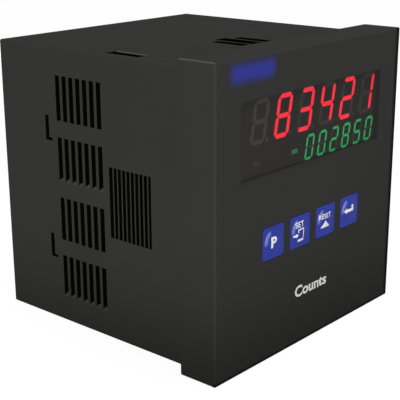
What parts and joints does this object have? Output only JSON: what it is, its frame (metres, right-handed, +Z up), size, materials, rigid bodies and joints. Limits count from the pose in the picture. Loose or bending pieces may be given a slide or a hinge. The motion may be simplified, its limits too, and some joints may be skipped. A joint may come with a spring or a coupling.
{
  "type": "panel counter",
  "caption": "Square panel-mount counter with a two-row LED digit display, blue push keys, vented box housing and rear screw terminals.",
  "frame": {"origin": "middle of the panel plane, where the rear rim of the bezel lies on the panel", "axes": "+X right seen from the front, +Y into the panel, +Z up"},
  "size_m": [0.096, 0.094, 0.096],
  "materials": {
    "case_plastic": "fine matt moulded texture",
    "smoked_acrylic": "polished, dark tint",
    "key_plastic": "satin gloss",
    "stem_plastic": "moulded",
    "component_plastic": "moulded",
    "reflector_plastic": "matt",
    "red_light": "lit translucent resin",
    "green_light": "lit translucent resin",
    "dark_segment": "unlit translucent resin",
    "board_laminate": "solder mask",
    "plated_steel": "zinc plated",
    "core_steel": "varnished sheets",
    "winding_tape": "wrapped tape",
    "capacitor_sleeve": "shrunk sleeve",
    "fuse_body": "moulded",
    "opto_plastic": "moulded",
    "relay_plastic": "moulded",
    "terminal_plastic": "moulded",
    "clamp_brass": "nickel-plated"
  },
  "bodies": {
    "case": {"front_bezel": "case_plastic", "housing": "case_plastic", "rear_cover": "case_plastic", "display_window": "smoked_acrylic", "key_switches": "component_plastic", "card_sockets": "component_plastic", "display_drivers": "component_plastic", "bridge_rectifier": "component_plastic", "voltage_regulator": "component_plastic", "controller_chip": "component_plastic", "digit_block": "reflector_plastic", "count_segments_lit": "red_light", "preset_segments_lit": "green_light", "status_mark_lit": "green_light", "count_segments_off": "dark_segment", "preset_segments_off": "dark_segment", "status_mark_off": "dark_segment", "display_board": "board_laminate", "power_board": "board_laminate", "signal_board": "board_laminate", "display_board_screws": "plated_steel", "terminal_screws": "plated_steel", "clock_crystal": "plated_steel", "transformer_core": "core_steel", "transformer_winding": "winding_tape", "main_capacitor": "capacitor_sleeve", "filter_capacitors": "capacitor_sleeve", "line_fuse": "fuse_body", "optocouplers": "opto_plastic", "output_relays": "relay_plastic", "terminal_block_left": "terminal_plastic", "terminal_block_right": "terminal_plastic", "wire_clamps": "clamp_brass"},
    "program_key": {"key_program": "key_plastic", "switch_stem_program": "stem_plastic"},
    "set_key": {"key_set": "key_plastic", "switch_stem_set": "stem_plastic"},
    "reset_key": {"key_reset": "key_plastic", "switch_stem_reset": "stem_plastic"},
    "enter_key": {"key_enter": "key_plastic", "switch_stem_enter": "stem_plastic"}
  },
  "joints": [
    {"name": "press_program", "type": "slide", "parent": "case", "child": "program_key", "axis": [0, 1, 0], "range_m": [0, 0.00035], "stiffness_N_per_m": 3000},
    {"name": "press_set", "type": "slide", "parent": "case", "child": "set_key", "axis": [0, 1, 0], "range_m": [0, 0.00035], "stiffness_N_per_m": 3000},
    {"name": "press_reset", "type": "slide", "parent": "case", "child": "reset_key", "axis": [0, 1, 0], "range_m": [0, 0.00035], "stiffness_N_per_m": 3000},
    {"name": "press_enter", "type": "slide", "parent": "case", "child": "enter_key", "axis": [0, 1, 0], "range_m": [0, 0.00035], "stiffness_N_per_m": 3000}
  ]
}
